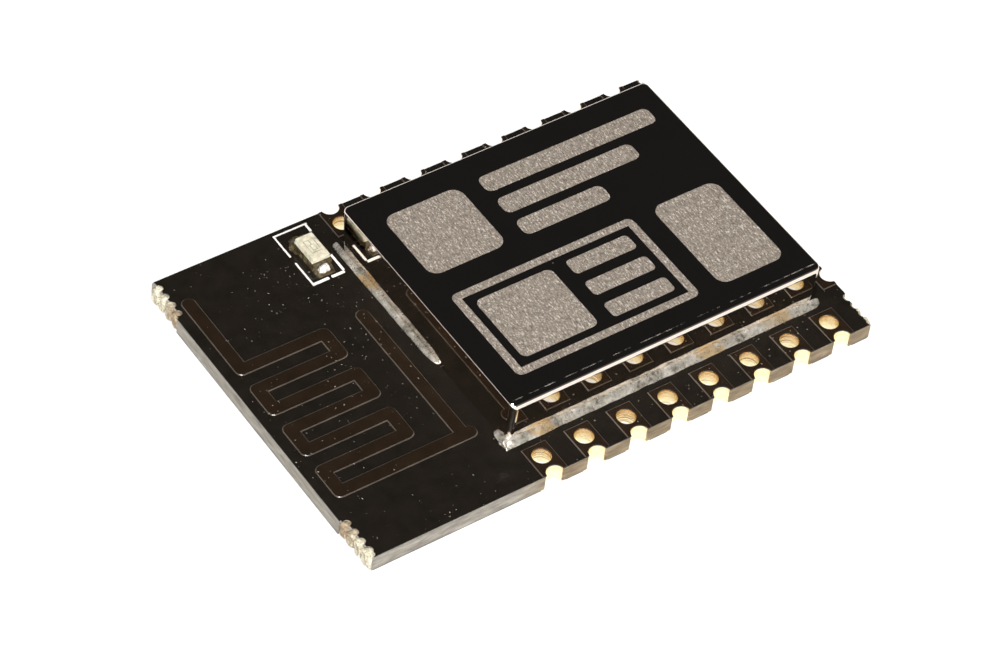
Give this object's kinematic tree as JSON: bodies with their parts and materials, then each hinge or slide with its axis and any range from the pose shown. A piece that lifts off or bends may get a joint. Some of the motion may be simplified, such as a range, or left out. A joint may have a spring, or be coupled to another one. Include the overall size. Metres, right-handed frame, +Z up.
{
  "type": "castellated wireless module",
  "caption": "Flat castellated wireless module: black circuit board with a printed antenna, plated edge pads, a bright shield can and an indicator LED.",
  "frame": {"origin": "centre of the board outline at the underside", "axes": "+X along the board's length, from the antenna end to the pad end; +Y across it, to the edge beside the LED; +Z up, out of the shield can's lid"},
  "size_m": [0.024, 0.016, 0.003],
  "materials": {
    "laminate": "glass-fibre laminate, sawn and drilled",
    "mask": "black solder mask, glossy",
    "copper": "copper foil",
    "plating": "thin gold plating",
    "ink": "white printed ink",
    "shield": "bright plated sheet steel",
    "solder": "reflowed tin solder",
    "led_lens": "clear resin",
    "led_die": "semiconductor die",
    "chip_resin": "moulded black resin",
    "ceramic": "fired ceramic"
  },
  "bodies": {
    "root": {"antenna_trace": "copper", "capacitor_1": "ceramic", "capacitor_2": "ceramic", "capacitor_3": "ceramic", "capacitor_4": "ceramic", "capacitor_5": "ceramic", "capacitor_6": "ceramic", "capacitor_7": "ceramic", "capacitor_8": "ceramic", "crystal_base": "ceramic", "crystal_lid": "shield", "ground_strips": "copper", "inductor": "ceramic", "ink_box": "ink", "led_base": "ink", "led_body": "led_lens", "led_die": "led_die", "led_lands": "copper", "led_solder_lower": "solder", "led_solder_upper": "solder", "led_terminal_lower": "solder", "led_terminal_upper": "solder", "mask_bottom": "mask", "mask_top": "mask", "memory_chip": "chip_resin", "memory_leads": "solder", "pad_end_1": "plating", "pad_end_2": "plating", "pad_end_3": "plating", "pad_end_4": "plating", "pad_end_5": "plating", "pad_end_6": "plating", "pad_front_1": "plating", "pad_front_2": "plating", "pad_front_3": "plating", "pad_front_4": "plating", "pad_front_5": "plating", "pad_front_6": "plating", "pad_front_7": "plating", "pad_front_8": "plating", "pad_rear_1": "plating", "pad_rear_2": "plating", "pad_rear_3": "plating", "pad_rear_4": "plating", "pad_rear_5": "plating", "pad_rear_6": "plating", "pad_rear_7": "plating", "pad_rear_8": "plating", "pcb": "laminate", "processor": "chip_resin", "processor_terminals": "solder", "resistor_1": "chip_resin", "resistor_2": "chip_resin", "resistor_3": "chip_resin", "shield_can": "shield", "solder_end": "solder", "solder_front": "solder", "solder_rear": "solder", "solder_side": "solder"}
  },
  "joints": []
}
